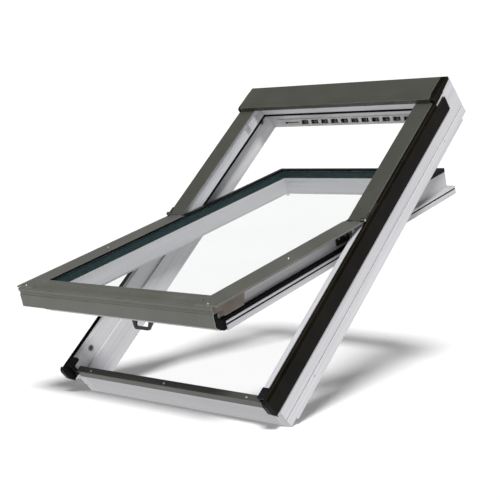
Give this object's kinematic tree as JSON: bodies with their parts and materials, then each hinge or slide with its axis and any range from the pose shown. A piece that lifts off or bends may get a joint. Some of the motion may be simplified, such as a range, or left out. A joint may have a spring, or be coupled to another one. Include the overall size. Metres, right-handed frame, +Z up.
{
  "type": "centre-pivot roof window",
  "caption": "Centre-pivot roof window with a white timber frame, a tilted double-glazed sash, grey metal covers, a bottom handle and a sliding vent in the head.",
  "frame": {"origin": "middle of the pivot axis of the sash, half way along and across the window", "axes": "+X across the window to the right seen from outside, +Y horizontally back into the roof, +Z up; the frame lies at a 45 degree roof pitch"},
  "size_m": [0.797, 1.1212, 0.9355],
  "materials": {
    "timber": "white lacquered timber, satin",
    "cover": "olive-grey coated sheet, satin",
    "dark_cover": "dark brown-black coated sheet, glossy",
    "rubber": "black, matt",
    "black_plastic": "black, matt",
    "brown_plastic": "brown-grey, matt",
    "glass": "clear",
    "spacer": "dark, matt",
    "steel": "zinc plated",
    "dark_metal": "dark grey, satin",
    "vent": "light grey"
  },
  "bodies": {
    "frame": {"frame_side_left": "timber", "frame_side_right": "timber", "frame_head": "timber", "frame_sill": "timber", "upper_cover_left": "cover", "upper_cover_right": "cover", "top_hood": "cover", "sill_profile": "cover", "side_cladding_left": "dark_cover", "side_cladding_right": "dark_cover", "hood_end_left": "dark_cover", "hood_end_right": "dark_cover", "side_gasket_left": "rubber", "side_gasket_right": "rubber", "frame_seal": "rubber", "end_cap_left": "black_plastic", "end_cap_right": "black_plastic", "bolt_socket": "brown_plastic", "hinge_bracket_left": "steel", "hinge_bracket_right": "steel", "sill_screws": "steel", "head_screws": "steel", "striker_plate": "steel", "guide_plates": "steel", "vent_grille": "vent"},
    "sash": {"sash_side_left": "timber", "sash_side_right": "timber", "sash_top_rail": "timber", "sash_bottom_rail": "timber", "outer_pane": "glass", "inner_pane": "glass", "glass_spacer": "spacer", "glazing_gasket": "rubber", "sash_cover_left": "cover", "sash_cover_right": "cover", "bottom_cover": "cover", "trim_left": "cover", "trim_right": "cover", "trim_top": "cover", "corner_piece_left": "brown_plastic", "corner_piece_right": "brown_plastic", "sash_seal": "rubber", "hinge_arm_left": "dark_metal", "hinge_arm_right": "dark_metal", "hinge_pin_left": "steel", "hinge_pin_right": "steel", "cover_screws": "steel", "handle_base": "dark_metal"},
    "handle": {"handle_lever": "dark_metal"},
    "latch": {"latch_tongue": "steel"},
    "cleaning_bolt": {"cleaning_bolt": "steel"},
    "vent_slide": {"vent_shutter": "dark_metal"}
  },
  "joints": [
    {"name": "sash_pivot", "type": "hinge", "parent": "frame", "child": "sash", "pos_m": [0, 0, 0], "axis": [-1, 0, 0], "range_deg": [-28, 139.4]},
    {"name": "handle_turn", "type": "hinge", "parent": "sash", "child": "handle", "pos_m": [0.005, -0.4707, -0.25266], "axis": [1, 0, 0], "range_deg": [0, 55]},
    {"name": "latch_slide", "type": "slide", "parent": "sash", "child": "latch", "axis": [0, -0.9563, -0.2924], "range_m": [0, 0.0092]},
    {"name": "cleaning_bolt_slide", "type": "slide", "parent": "sash", "child": "cleaning_bolt", "axis": [-1, 0, 0], "range_m": [0, 0.022]},
    {"name": "vent_shift", "type": "slide", "parent": "frame", "child": "vent_slide", "axis": [1, 0, 0], "range_m": [0, 0.021]}
  ],
  "couplings": [
    {"joint": "latch_slide", "follows": "handle_turn", "m_per_rad": 0.009376}
  ]
}
